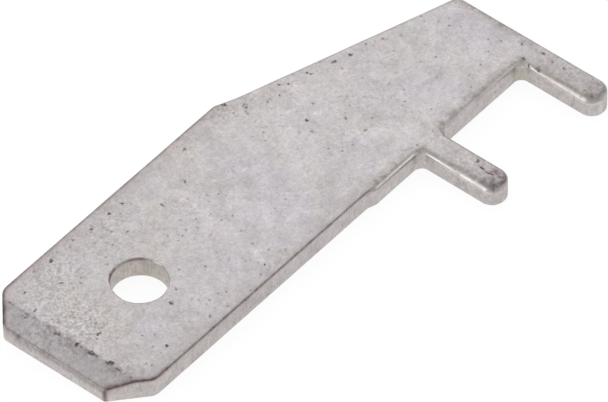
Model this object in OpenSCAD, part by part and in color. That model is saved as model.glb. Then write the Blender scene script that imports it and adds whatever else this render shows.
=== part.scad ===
// PCB tab terminal: a 6.3 x 0.8 mm push-on tab with two solder pins, stamped flat from one strip.
// The part lies on its lower face. The origin is the centre of the detent hole at that face,
// +X runs along the blade from the tip to the pins, the pins point to -Y, and +Z is the rolled side.

/* [Strip] */
// Thickness of the strip
thickness = 0.8; // [0.6:0.05:1.2]

/* [Blade] */
// Width of the blade between its trimmed sides
blade_width = 6.3; // [5.6:0.1:9.5]
// From the tip to the end of the blade, where its lower side steps out to the body
blade_length = 11.75; // [8:0.05:13]
// From the tip to the centre of the detent hole
tip_to_hole = 4.15; // [3:0.05:6]
// Diameter of the detent hole
hole_diameter = 1.9; // [1.2:0.1:2.6]

/* [Tip] */
// Width of the flat that the two chamfers leave at the tip
tip_width = 4.26; // [3:0.02:5]
// How far the tools set that flat off the blade's middle line, towards the back
tip_offset = 0.07; // [0:0.01:0.15]
// Angle between each chamfer and the blade's side, in degrees
chamfer_angle = 41.5; // [30:0.5:50]
// Radius of the corner between the tip and each chamfer
tip_corner_radius = 0.2; // [0.15:0.05:0.4]
// Radius of the corner between each chamfer and the blade's side
chamfer_heel_radius = 0.5; // [0.15:0.05:0.8]
// Length of the coined lead-in bevel on the upper face
lead_in_length = 0.8; // [0.3:0.05:1.2]
// How far the lead-in bevel has come down at the tip
lead_in_drop = 0.26; // [0.1:0.02:0.4]

/* [Body] */
// Overall length from the tip to the end side
overall_length = 20.4; // [18.8:0.1:26]
// Height of the end side, from the board seat to where the sloping back meets it
end_height = 3.45; // [2.4:0.05:5]
// Where the line of the sloping back would meet the blade's upper side, from the tip
back_start = 11.4; // [9:0.1:12.5]
// How far the blade's trimmed upper side runs on past that point
trim_overrun = 0.1; // [0.05:0.05:0.4]
// Length over which the back comes down from there to its own line
trim_blend = 0.8; // [0.4:0.1:1.2]
// Radius of the soft corners at the two ends of that blend
break_radius = 0.6; // [0.3:0.1:1]
// Radius of the corner between the back and the end side
end_corner_radius = 0.4; // [0.3:0.05:0.8]
// How far the board seat stands below the blade's lower side
seat_step = 0.11; // [0.05:0.01:0.3]
// Length of the slope between the blade's lower side and the board seat
seat_step_run = 0.3; // [0.2:0.05:0.8]
// Radius of the soft corners at the two ends of that slope
step_radius = 0.3; // [0.25:0.05:0.4]

/* [Pins] */
// Distance between the two solder pins, centre to centre
pin_pitch = 5.08; // [3:0.01:6.5]
// Width of each solder pin
pin_width = 1.02; // [0.8:0.02:1.3]
// Length of each solder pin below the board seat
pin_length = 3.08; // [2:0.02:5]
// Width of the flat that is left at a pin's end between its two rounds
pin_end_flat = 0.04; // [0.02:0.02:0.2]
// Radius of the fillet between a pin and the board seat
pin_root_radius = 0.3; // [0.15:0.05:0.5]

/* [Cut edge] */
// How far the rolled upper edge reaches in over the face, round the body
edge_roll = 0.17; // [0.05:0.01:0.22]
// How far the rolled upper edge reaches in over the face, round the ends of the pins
pin_roll = 0.28; // [0.05:0.01:0.32]
// How far it reaches in on the blade, where a second cut has left it sharper
blade_roll = 0.05; // [0.02:0.01:0.1]
// Radius of the rolled rim of the detent hole
hole_roll = 0.06; // [0.02:0.01:0.12]
// Angle of the roll's arc, in degrees. Below 90 it meets the sheared wall in an edge line.
roll_angle = 72; // [60:1:90]
// Height above the lower face up to which the metal broke off instead of being sheared
fracture_height = 0.3; // [0.1:0.05:0.35]
// How far that broken wall has drawn in at the lower face
fracture_draw = 0.025; // [0.005:0.005:0.05]

/* [Hidden] */
$fn = 64;

// Turn of each step round a corner of the outline, in degrees, and the steps of the roll
corner_step = 10;
roll_steps = 5;

// How far a cutter reaches past the face that it cuts
over = 0.5;

tip_x = -tip_to_hole;
side_y = blade_width / 2;
seat_y = -side_y - seat_step;
end_x = tip_x + overall_length;
end_y = seat_y + end_height;
pin_end_y = seat_y - pin_length;
pin_end_radius = (pin_width - pin_end_flat) / 2;

// A pin's roll leaves a little of the flat face between its two sides
pin_end_roll = min(pin_roll, pin_end_radius - 0.06);

// Where the chamfers meet the tip, and how far along the blade each one reaches
tip_low_y = tip_offset - tip_width / 2;
tip_high_y = tip_offset + tip_width / 2;
low_chamfer_length = (tip_low_y + side_y) / tan(chamfer_angle);
high_chamfer_length = (side_y - tip_high_y) / tan(chamfer_angle);

// The sloping back: its fall for each millimetre along, and its height at a distance from the tip
back_fall = (side_y - end_y) / (overall_length - back_start);
function back_y(from_tip) = side_y - back_fall * (from_tip - back_start);
break_at = back_start + trim_overrun;
blend_at = break_at + trim_blend;

// The right side of pin number i, counted from the end side, and its left side
function pin_right(i) = end_x - i * pin_pitch;
function pin_left(i) = pin_right(i) - pin_width;

// The outline's corners, in order round the part with the metal on the left.
// Each has its place, its radius and the roll on the upper edge there.
corners = [
    [[tip_x, tip_low_y], tip_corner_radius, blade_roll],
    [[tip_x + low_chamfer_length, -side_y], chamfer_heel_radius, blade_roll],
    [[tip_x + blade_length, -side_y], step_radius, blade_roll],
    [[tip_x + blade_length + seat_step_run, seat_y], step_radius, edge_roll],
    [[pin_left(1), seat_y], pin_root_radius, edge_roll],
    [[pin_left(1), pin_end_y], pin_end_radius, pin_end_roll],
    [[pin_right(1), pin_end_y], pin_end_radius, pin_end_roll],
    [[pin_right(1), seat_y], pin_root_radius, edge_roll],
    [[pin_left(0), seat_y], pin_root_radius, edge_roll],
    [[pin_left(0), pin_end_y], pin_end_radius, pin_end_roll],
    [[end_x, pin_end_y], pin_end_radius, pin_end_roll],
    [[end_x, end_y], end_corner_radius, edge_roll],
    [[tip_x + blend_at, back_y(blend_at)], break_radius, edge_roll],
    [[tip_x + break_at, side_y], break_radius, blade_roll],
    [[tip_x + high_chamfer_length, side_y], chamfer_heel_radius, blade_roll],
    [[tip_x, tip_high_y], tip_corner_radius, blade_roll],
];
count = len(corners);
function place(i) = corners[(i + count) % count][0];
function radius(i) = corners[(i + count) % count][1];
function roll(i) = corners[(i + count) % count][2];

// The way along side i, from corner i to the next one, and the way out of the metal from it
function along(i) = (place(i + 1) - place(i)) / norm(place(i + 1) - place(i));
function outward(i) = [along(i)[1], -along(i)[0]];

// The turn at corner i in degrees, positive where the metal has an outer corner
function turn(i) = let (a = along(i - 1), b = along(i)) atan2(a[0] * b[1] - a[1] * b[0], a * b);

// The centre of the round at corner i, which lies outside the metal at an inner corner
function round_start(i) = place(i) - along(i - 1) * radius(i) * tan(abs(turn(i)) / 2);
function round_centre(i) = round_start(i) - outward(i - 1) * radius(i) * sign(turn(i));
function turned(v, a) = [v[0] * cos(a) - v[1] * sin(a), v[0] * sin(a) + v[1] * cos(a)];

// The rim: points round the outline, each with the way out of the metal there and its roll.
// A corner that hardly turns is one short chord.
function steps(i) = ceil(abs(turn(i)) / corner_step);
rim = [
    for (i = [0 : count - 1], step = [0 : steps(i)])
        let (out = turned(outward(i - 1), turn(i) * step / steps(i)))
            [round_centre(i) + out * radius(i) * sign(turn(i)), out, roll(i)]
];
rim_count = len(rim);

// A point of a roll that reaches in by r, as how far it is drawn in and its height: step 0 is at the
// sheared wall, and the last step is at the upper face, where the arc runs out level.
function roll_point(r, step) =
    let (a = roll_angle * (1 - step / roll_steps), arc_radius = r / sin(roll_angle))
        [r - arc_radius * sin(a), thickness - arc_radius * (1 - cos(a))];

// Section of the cut wall for such a roll, from below the lower face to above the upper one: the
// broken wall, the sheared wall, the chords of the roll, and the last chord carried on through the
// upper face by a third of its length.
function wall_section(r) =
    let (last = roll_point(r, roll_steps), before = roll_point(r, roll_steps - 1))
    let (past = last + (last - before) / 3)
        [
            [fracture_draw * (1 + over / fracture_height), -over],
            [0, fracture_height],
            for (step = [0 : roll_steps - 1]) roll_point(r, step),
            past,
            [past[0], thickness + over],
        ];
levels = len(wall_section(edge_roll));

// What the punch leaves standing: the cut wall's section, lofted all round the rim
module cut_form() {
    points = [
        for (level = [0 : levels - 1], point = rim)
            let (at = wall_section(point[2])[level], foot = point[0] - point[1] * at[0])
                [foot[0], foot[1], at[1]]
    ];
    wall = [
        for (level = [0 : levels - 2], k = [0 : rim_count - 1])
            let (a = level * rim_count + k, b = level * rim_count + (k + 1) % rim_count)
                each [[a, a + rim_count, b + rim_count], [a, b + rim_count, b]]
    ];
    lower_end = [for (k = [0 : rim_count - 1]) k];
    upper_end = [for (k = [rim_count - 1 : -1 : 0]) (levels - 1) * rim_count + k];
    polyhedron(points, concat([lower_end, upper_end], wall));
}

// The strip that the part is stamped from
module strip() {
    translate([tip_x - over, pin_end_y - over, 0])
        cube([overall_length + 2 * over, side_y - pin_end_y + 2 * over, thickness]);
}

// Cutter for the coined lead-in bevel across the tip
module lead_in() {
    fall = lead_in_drop / lead_in_length;
    inner_x = tip_x + lead_in_length;
    outer_x = tip_x - over;
    rotate([90, 0, 0])
        linear_extrude(blade_width + 2 * over, center = true)
            polygon([
                [inner_x, thickness],
                [inner_x, thickness + over],
                [outer_x, thickness + over],
                [outer_x, thickness - fall * (inner_x - outer_x)],
            ]);
}

// Cutter for the detent hole: the punched wall, and the roll round its upper rim
module detent_hole() {
    wall_radius = hole_diameter / 2;
    rotate_extrude() difference() {
        union() {
            translate([0, -over]) square([wall_radius, thickness + 2 * over]);
            translate([0, thickness - hole_roll]) square([wall_radius + hole_roll, hole_roll + over]);
        }
        translate([wall_radius + hole_roll, thickness - hole_roll]) circle(hole_roll);
    }
}

// The stamped blank, with the lead-in bevel coined across its tip
module blank() {
    difference() {
        intersection() {
            strip();
            cut_form();
        }
        lead_in();
    }
}

module tab_terminal() {
    color("silver") difference() {
        blank();
        detent_hole();
    }
}

tab_terminal();
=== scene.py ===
"""Looks of the circuit-board tab terminal: one stamped, tin-plated piece, and the studio round it."""

import logging
import math
from collections.abc import Sequence
from dataclasses import dataclass, field
from enum import Enum

import bmesh
import bpy
from bmesh.types import BMEdge, BMesh, BMFace, BMLayerItem, BMVert
from mathutils import Matrix, Vector, noise
from mathutils.bvhtree import BVHTree
from mathutils.kdtree import KDTree


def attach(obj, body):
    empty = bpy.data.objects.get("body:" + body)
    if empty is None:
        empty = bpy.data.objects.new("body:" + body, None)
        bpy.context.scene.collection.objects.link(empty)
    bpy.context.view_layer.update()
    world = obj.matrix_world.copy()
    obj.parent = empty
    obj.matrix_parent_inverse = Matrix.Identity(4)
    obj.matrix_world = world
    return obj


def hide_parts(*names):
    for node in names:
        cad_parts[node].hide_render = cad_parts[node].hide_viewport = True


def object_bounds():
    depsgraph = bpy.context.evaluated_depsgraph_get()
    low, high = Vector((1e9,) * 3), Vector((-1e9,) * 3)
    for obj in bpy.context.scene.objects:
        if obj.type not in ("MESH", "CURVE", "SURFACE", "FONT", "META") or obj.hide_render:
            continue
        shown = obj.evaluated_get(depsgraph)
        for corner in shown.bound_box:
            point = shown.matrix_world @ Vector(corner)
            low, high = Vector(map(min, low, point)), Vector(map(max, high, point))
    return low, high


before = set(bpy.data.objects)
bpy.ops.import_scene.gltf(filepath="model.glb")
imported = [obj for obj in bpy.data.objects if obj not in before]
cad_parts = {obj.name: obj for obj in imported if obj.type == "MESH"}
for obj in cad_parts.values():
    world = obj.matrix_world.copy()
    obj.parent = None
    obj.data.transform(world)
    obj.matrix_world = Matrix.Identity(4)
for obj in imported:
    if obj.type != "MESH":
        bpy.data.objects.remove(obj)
CAD_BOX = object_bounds()

LOG = logging.getLogger("tab_terminal")
MM = 0.001
UP = Vector((0.0, 0.0, 1.0))

# How far from the edge line, where the roll meets the sheared wall, the mesh knows of it
CREST_REACH = 0.1

# Seed of the vector noise that makes the pits ragged, which Blender takes from the clock otherwise
NOISE_SEED = 7

# That noise, as features to a millimetre and how far it shifts a pit's rim
RAGGED_SCALE = 8.0
RAGGED_SHIFT = 0.05

# How far from a point the pits are looked for, and the size of a pit's dirt as a share of the pit's own
PIT_REACH = 0.32
DIRT_SPREAD = 1.2

# The surface's unevenness, as features to a millimetre and their height, and how deep a scratch goes
WAVES = ((0.7, 0.006), (2.3, 0.003), (9.0, 0.0018))
SCRATCH_DEPTH = 0.004

# An edge of the mesh is split where it is this many times as long as it should be
SPLIT_FROM = 1.4


class Side(Enum):
    """The kinds of surface that a stamped piece has."""

    CUT_WALL = 0
    UPPER = 1
    LOWER = 2
    LEAD_IN = 3


class Layer(Enum):
    """What the mesh keeps for each of its points. The finish reads all but the last three."""

    SOIL = "soil"
    STAIN_AND_SHADE = "stain_and_shade"
    SHADE = "shade"
    COOL = "cool"
    TARNISH = "tarnish"
    BURNISH_AND_HIGHLIGHT = "burnish_and_highlight"
    GRIT = "grit"
    CUT = "cut"
    ROLL = "roll"
    ROLLED = "rolled"
    CREST = "crest"


@dataclass(frozen=True)
class Corner:
    """One corner of the stamped outline, in millimetres."""

    x: float
    y: float
    radius: float
    roll: float
    last_roll: float | None = None

    def roll_at(self, share: float) -> float:
        """The roll at a share of the way round the corner."""
        last = self.roll if self.last_roll is None else self.last_roll
        return self.roll + (last - self.roll) * share

    @property
    def place(self) -> Vector:
        """The corner's point, before it is rounded."""
        return Vector((self.x, self.y, 0.0))


@dataclass(frozen=True)
class Mark:
    """A pit or speck in the upper face, in millimetres. A long one lies along its angle."""

    x: float
    y: float
    length: float = 0.16
    width: float = 0.12
    angle: float = 60.0
    soil: float = 0.45
    depth: float = 0.012

    def nearness(self, at: Vector, spread: float = 1.0) -> float:
        """How far inside the mark a point is: 1 at its middle, 0 from its rim times the spread outwards."""
        turn = math.radians(self.angle)
        dx, dy = at.x - self.x, at.y - self.y
        along = (dx * math.cos(turn) + dy * math.sin(turn)) / (self.length / 2 * spread)
        across = (dy * math.cos(turn) - dx * math.sin(turn)) / (self.width / 2 * spread)
        return max(0.0, 1.0 - along * along - across * across)


@dataclass(frozen=True)
class Patch:
    """A soft patch of cooler (positive) or warmer (negative) plating, how much darker it is, and its grit."""

    x: float
    y: float
    radius: float
    cool: float
    shade: float = 0.0
    grit: float = 0.0


@dataclass(frozen=True)
class Scratch:
    """A slightly bent scratch in the upper face, in millimetres. It fades out over a share of its length."""

    start: tuple[float, float]
    end: tuple[float, float]
    bend: float
    width: float
    soil: float = 0.0
    bright: float = 0.0
    fade: float = 0.2

    def nearness(self, at: Vector) -> float:
        """How far inside the scratch a point is: 1 on its middle line, 0 from its rim outwards."""
        along = Vector(self.end) - Vector(self.start)
        from_start = at.xy - Vector(self.start)
        share = from_start.dot(along) / along.length_squared
        if not 0.0 < share < 1.0:
            return 0.0
        bow = 4.0 * self.bend * share * (1.0 - share)
        across = (along.x * from_start.y - along.y * from_start.x) / along.length - bow
        inside = max(0.0, 1.0 - (across / (self.width / 2)) ** 2)
        return inside * rise(share, 0.0, self.fade) * fall(share, 1.0, self.fade)


SMALL_PITS = (
    (-3.10, 1.75), (-2.60, -2.50), (-2.55, -2.70), (-2.55, 0.55), (-2.00, 0.40), (-1.60, 1.40),
    (-1.10, 1.55), (-0.30, 2.70), (-0.35, -2.35), (0.25, -2.75), (0.45, -1.15), (0.25, 2.15),
    (3.10, -2.85), (3.35, 1.35), (4.00, -2.75), (4.15, 2.70), (5.55, 0.80), (6.70, 3.05),
    (7.15, 2.75), (7.55, 2.25), (8.20, 0.25), (8.50, -0.05), (8.45, 1.20), (9.10, 1.80),
    (9.65, 1.90), (9.65, -0.55), (11.70, -0.60), (12.30, 1.00), (12.60, 1.10), (12.90, 0.95),
    (13.70, 0.50), (13.85, -0.45), (15.50, -2.20), (15.85, -4.10),
)

PITS = (
    Mark(-3.45, 1.85, 0.35, 0.20, 110, 0.65),
    Mark(-3.40, 0.55, 0.30, 0.15, 100, 0.80),
    Mark(-3.35, -0.25, 0.20, 0.20, 0, 0.90),
    Mark(-3.35, -0.85, 0.40, 0.20, 80, 0.95),
    Mark(-3.30, -1.60, 0.35, 0.22, 110, 0.95),
    Mark(-2.75, 2.50, 0.18, 0.12, 160, 0.85),
    Mark(-2.60, -0.50, 0.25, 0.15, 0, 0.65),
    Mark(-1.65, 1.85, 0.22, 0.12, 140, 0.65),
    Mark(-1.60, -2.50, 0.20, 0.15, 10, 0.95),
    Mark(-1.15, 2.75, 0.20, 0.14, 20, 0.95),
    Mark(-0.10, -1.40, 0.16, 0.14, 130, 0.95),
    Mark(0.00, 2.80, 0.18, 0.10, 90, 0.50),
    Mark(0.70, 2.65, 0.30, 0.15, 30, 0.75),
    Mark(1.35, 1.70, 0.20, 0.10, 20, 0.65),
    Mark(1.60, 2.65, 0.18, 0.14, 140, 0.90),
    Mark(2.20, 2.65, 0.20, 0.12, 140, 0.75),
    Mark(2.95, 1.60, 0.20, 0.10, 90, 0.60),
    Mark(3.05, -2.65, 0.14, 0.10, 40, 0.90),
    Mark(4.20, 1.70, 0.30, 0.12, 50, 0.60),
    Mark(5.30, 2.65, 0.22, 0.14, 70, 0.65),
    Mark(7.60, 2.90, 0.22, 0.18, 110, 0.85),
    Mark(8.00, 2.35, 0.35, 0.15, 60, 0.65),
    Mark(8.65, 1.90, 0.35, 0.18, 10, 0.50),
    Mark(8.80, 0.40, 0.18, 0.12, 90, 0.80),
    Mark(9.45, 2.10, 0.22, 0.15, 150, 0.65),
    Mark(9.50, 0.75, 0.18, 0.14, 130, 0.55),
    Mark(9.65, -1.35, 0.20, 0.12, 50, 0.50),
    Mark(10.45, 1.70, 0.30, 0.12, 120, 0.70),
    Mark(10.90, -5.05, 0.16, 0.12, 20, 0.95),
    Mark(11.35, 1.40, 0.28, 0.15, 155, 0.95),
    Mark(11.95, 1.20, 0.18, 0.16, 120, 0.95),
    Mark(13.20, 0.80, 0.30, 0.16, 150, 0.50),
    Mark(15.25, -3.60, 0.18, 0.14, 60, 0.95),
    Mark(15.35, -3.30, 0.18, 0.10, 70, 0.85),
    Mark(15.35, -3.95, 0.25, 0.15, 80, 0.85),
    Mark(15.85, -2.80, 0.30, 0.12, 70, 0.60),
    Mark(15.85, -4.60, 0.16, 0.12, 80, 0.75),
    Mark(15.95, -3.65, 0.20, 0.14, 80, 0.90),
    *(Mark(x, y) for x, y in SMALL_PITS),
)

PATCHES = (
    Patch(8.5, -1.0, 2.4, 0.5, -0.02),
    Patch(12.5, -1.8, 1.8, 0.7),
    Patch(15.0, -1.2, 1.2, 0.9),
    Patch(4.5, -1.6, 1.8, 0.4),
    Patch(1.6, -1.6, 1.3, 0.2, 0.03),
    Patch(-1.0, -1.8, 1.1, 0.9, 0.05),
    Patch(-3.6, 0.0, 0.8, 0.1),
    Patch(-3.4, -1.6, 0.8, -0.1, 0.04),
    Patch(6.0, 2.2, 2.0, -0.2),
    Patch(0.4, 2.0, 1.5, -0.7, 0.02, 0.4),
    Patch(-2.6, 0.2, 1.2, -0.5, 0.04, 1.6),
    Patch(-2.2, 2.2, 0.9, -0.3, 0.02, 0.9),
    Patch(-1.2, 2.4, 0.9, 0.1, 0.03, 0.7),
    Patch(1.5, 2.6, 0.9, -0.1, 0.02, 0.7),
    Patch(-3.6, 1.2, 0.7, 0.0, 0.02, 0.9),
    Patch(2.0, 1.0, 1.0, -0.4, 0.03),
    Patch(0.3, 1.35, 0.5, -0.5, 0.05),
    Patch(1.2, -1.2, 0.7, -0.6, 0.06),
    Patch(3.0, -1.7, 0.9, -0.1, 0.06),
    Patch(4.6, 0.6, 0.8, 0.0, 0.05),
    Patch(6.0, 0.6, 0.8, 0.5, 0.07),
    Patch(6.1, -1.6, 0.9, 0.3, 0.06),
    Patch(7.6, -2.2, 0.8, 0.0, 0.05),
    Patch(9.0, -0.4, 0.7, 0.3, 0.06),
    Patch(9.0, 0.9, 0.9, 0.6, -0.06),
    Patch(7.5, 2.0, 0.7, 0.5, 0.05),
    Patch(12.0, 0.5, 0.9, 0.9),
    Patch(13.5, 0.4, 0.6, 0.3, 0.05),
    Patch(13.5, -1.4, 0.7, -0.2, 0.05),
    Patch(15.0, 0.5, 0.6, -0.2, -0.05),
    Patch(10.7, -4.6, 1.4, -0.5),
    Patch(10.6, -3.9, 0.5, 0.0, -0.06),
    Patch(15.9, -0.8, 0.7, -0.6, 0.07),
    Patch(15.9, -1.9, 0.6, 0.0, 0.05),
    Patch(15.7, -4.6, 1.4, -0.4),
    Patch(0.5, 1.9, 0.9, 0.0, 0.045),
    Patch(1.0, 2.6, 0.5, -0.1, 0.03),
    Patch(-2.9, -2.0, 0.5, 0.0, 0.05),
    Patch(-1.0, -1.4, 0.5, 0.0, 0.04),
    Patch(-1.0, 1.7, 0.6, 0.0, 0.03),
    Patch(-3.7, 0.6, 0.5, -0.2, -0.04),
    Patch(-3.8, -2.3, 0.3, -0.2, -0.06),
    Patch(7.3, 2.7, 0.6, -0.3, 0.0, 1.0),
    Patch(8.4, 2.3, 0.5, -0.2, 0.0, 0.7),
    Patch(9.6, 1.9, 0.5, -0.2, 0.0, 0.7),
    Patch(3.4, 0.8, 0.8, -0.3, 0.0, 0.7),
    Patch(5.2, 2.6, 0.6, -0.2, 0.0, 0.6),
    Patch(-0.2, -1.6, 0.7, -0.1, 0.0, 0.4),
    Patch(-3.2, -2.2, 0.5, -0.1, 0.0, 0.9),
    Patch(10.7, -5.2, 0.9, -0.1, 0.0, 0.8),
    Patch(15.7, -4.9, 1.0, -0.1, 0.0, 0.6),
    Patch(11.0, -3.3, 0.5, -0.2, 0.0, 0.6),
    Patch(10.4, -4.6, 0.6, 0.0, -0.02, 0.6),
)

SCRATCHES = (
    Scratch((9.48, -0.97), (9.14, -1.85), 0.05, 0.04, bright=0.5),
    Scratch((11.92, 0.71), (12.49, -0.59), 0.12, 0.04, soil=0.35),
    Scratch((9.93, 0.65), (11.29, -1.30), 0.10, 0.04, soil=0.3),
    Scratch((12.38, -2.39), (12.95, -3.05), -0.03, 0.04, soil=0.35),
    Scratch((9.14, 0.42), (9.22, 0.34), 0.0, 0.09, bright=0.9),
    Scratch((10.74, -5.20), (10.70, -5.52), 0.02, 0.10, soil=0.7),
    Scratch((10.70, -5.48), (10.75, -5.92), -0.02, 0.12, soil=0.75),
    Scratch((15.20, -5.95), (15.72, -5.78), -0.16, 0.05, soil=0.35),
    Scratch((15.28, -6.10), (15.80, -5.92), -0.16, 0.04, bright=0.5),
    Scratch((15.14, -5.70), (15.62, -5.52), -0.12, 0.04, soil=0.3),
    Scratch((7.3, 1.6), (8.6, 0.2), 0.06, 0.04, soil=0.3),
    Scratch((5.2, -0.3), (6.6, -1.9), -0.08, 0.04, bright=0.25),
    Scratch((3.6, 1.9), (4.2, 0.4), 0.05, 0.04, bright=0.25),
    Scratch((11.2, -1.2), (13.2, -1.6), 0.12, 0.04, bright=0.25),
    Scratch((10.2, -2.0), (11.6, -2.7), -0.08, 0.04, bright=0.25),
)


@dataclass
class CutEdge:
    """Section of the stamped wall from the lower face up, in millimetres."""

    thickness: float = 0.8
    fracture_height: float = 0.3
    fracture_draw: float = 0.006
    burr_radius: float = 0.006
    roll_arc: float = 72.0
    roll_power: float = 1.05
    seat_power: float = 1.6
    broken_steps: int = 5
    sheared_steps: int = 6
    roll_steps: int = 10

    def section(self, roll: float) -> list[tuple[float, float]]:
        """Points of the wall for one width of roll.

        Args:
            roll: how far in the roll reaches over the upper face.

        Returns:
            How far each point is drawn in from the outline, and its height.
        """
        draw, burr = self.fracture_draw, self.burr_radius
        bend = burr * 0.3
        points = [(draw + burr, 0.0), (draw + bend, bend)]
        for step in range(self.broken_steps + 1):
            share = step / self.broken_steps
            points.append((draw * (1 - share), burr + (self.fracture_height - burr) * share))
        curve = self.roll_curve(roll)
        foot = curve[0][1]
        for step in range(1, self.sheared_steps):
            share = step / self.sheared_steps
            points.append((0.0, self.fracture_height + (foot - self.fracture_height) * share))
        return points + curve

    def roll_curve(self, roll: float) -> list[tuple[float, float]]:
        """Points of the roll from the wall up to the face. A roll about as wide as the seat's starts gently.

        Args:
            roll: how far in the roll reaches over the upper face.

        Returns:
            How far each point is drawn in from the outline, and its height.
        """
        like_seat = rise(roll, 0.15, 0.1) * fall(roll, 0.36, 0.06)
        power = self.roll_power + (self.seat_power - self.roll_power) * like_seat
        across, down = [0.0], [0.0]
        for step in range(self.roll_steps):
            slope = math.radians(self.roll_arc) * ((step + 0.5) / self.roll_steps) ** power
            across.append(across[-1] + math.cos(slope))
            down.append(down[-1] + math.sin(slope))
        scale = roll / across[-1]
        curve = [(roll - a * scale, self.thickness - d * scale) for a, d in zip(across, down)]
        return curve[::-1]


@dataclass(frozen=True)
class Spot:
    """One point of the surface, as the terminal's wear and painted light depend on it. Lengths are in
    millimetres.
    """

    at: Vector
    normal: Vector
    gap: float
    rolled: float
    crest: float

    @property
    def round_at(self) -> float:
        """Where it lies round the hole, in degrees from +X."""
        return math.degrees(math.atan2(self.at.y, self.at.x))

    @property
    def from_hole(self) -> float:
        """How far it lies from the hole's middle."""
        return math.hypot(self.at.x, self.at.y)

    @property
    def on_face(self) -> bool:
        """Whether it lies on the upper face or the flat part of its roll."""
        return self.normal.z > 0.6

    @property
    def crested(self) -> float:
        """1 on the edge line where the roll meets the sheared wall, less beside it."""
        return smooth_step(self.crest * 2.0 - 1.0)

    @property
    def on_edge(self) -> float:
        """1 on the rolled edge and its edge line, less on the wall just below it."""
        return max(min(1.0, self.rolled * 4.0), self.crested)

    @property
    def uneven(self) -> float:
        """Slow unevenness, from 0 to 1."""
        return 0.5 + 0.5 * self.ripple(2.0, 5.0)

    @property
    def fine(self) -> float:
        """Fine unevenness, from 0 to 1."""
        return 0.5 + 0.4 * self.ripple(5.0, 2.0) + 0.3 * self.ripple(13.0, 4.0)

    def ripple(self, scale: float, layer: float) -> float:
        """Noise with so many features to a millimetre, alike all the way down a wall, from -1 to 1."""
        return noise.noise(Vector((self.at.x * scale, self.at.y * scale, layer)))

    def blotches(self, gain: float, level: float) -> float:
        """Fine blotches from 0 to 1, crisper with a greater gain and fewer with a greater level."""
        return smooth_step(self.fine * gain - level)


@dataclass(frozen=True)
class PinWearAndPaintedLight:
    """How one pin is worn and lit: the burnished roll on its left side with its painted highlight, and the
    brown wear on its face, which is most at the pin's end, reaches so many millimetres across it from the
    left, and beside the highlight is painted shade."""

    pitches_from_end: int
    steep_from: float
    dullest: float
    by_uneven: float
    by_fine: float
    level: float
    reach: float
    low_side: float
    end: float
    all_over: float

    def shine(self, spot: Spot) -> float:
        """How unbroken the burnishing and its painted highlight are at a point, from 0 to 1."""
        return smooth_step(self.by_uneven * spot.uneven + self.by_fine * spot.fine - self.level)


END_PIN = PinWearAndPaintedLight(
    pitches_from_end=0, steep_from=0.22, dullest=0.2, by_uneven=1.0, by_fine=1.6, level=0.6,
    reach=0.78, low_side=0.34, end=0.58, all_over=0.24,
)
INNER_PIN = PinWearAndPaintedLight(
    pitches_from_end=1, steep_from=0.68, dullest=0.35, by_uneven=2.0, by_fine=1.2, level=0.95,
    reach=0.62, low_side=0.24, end=0.80, all_over=0.18,
)


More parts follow.
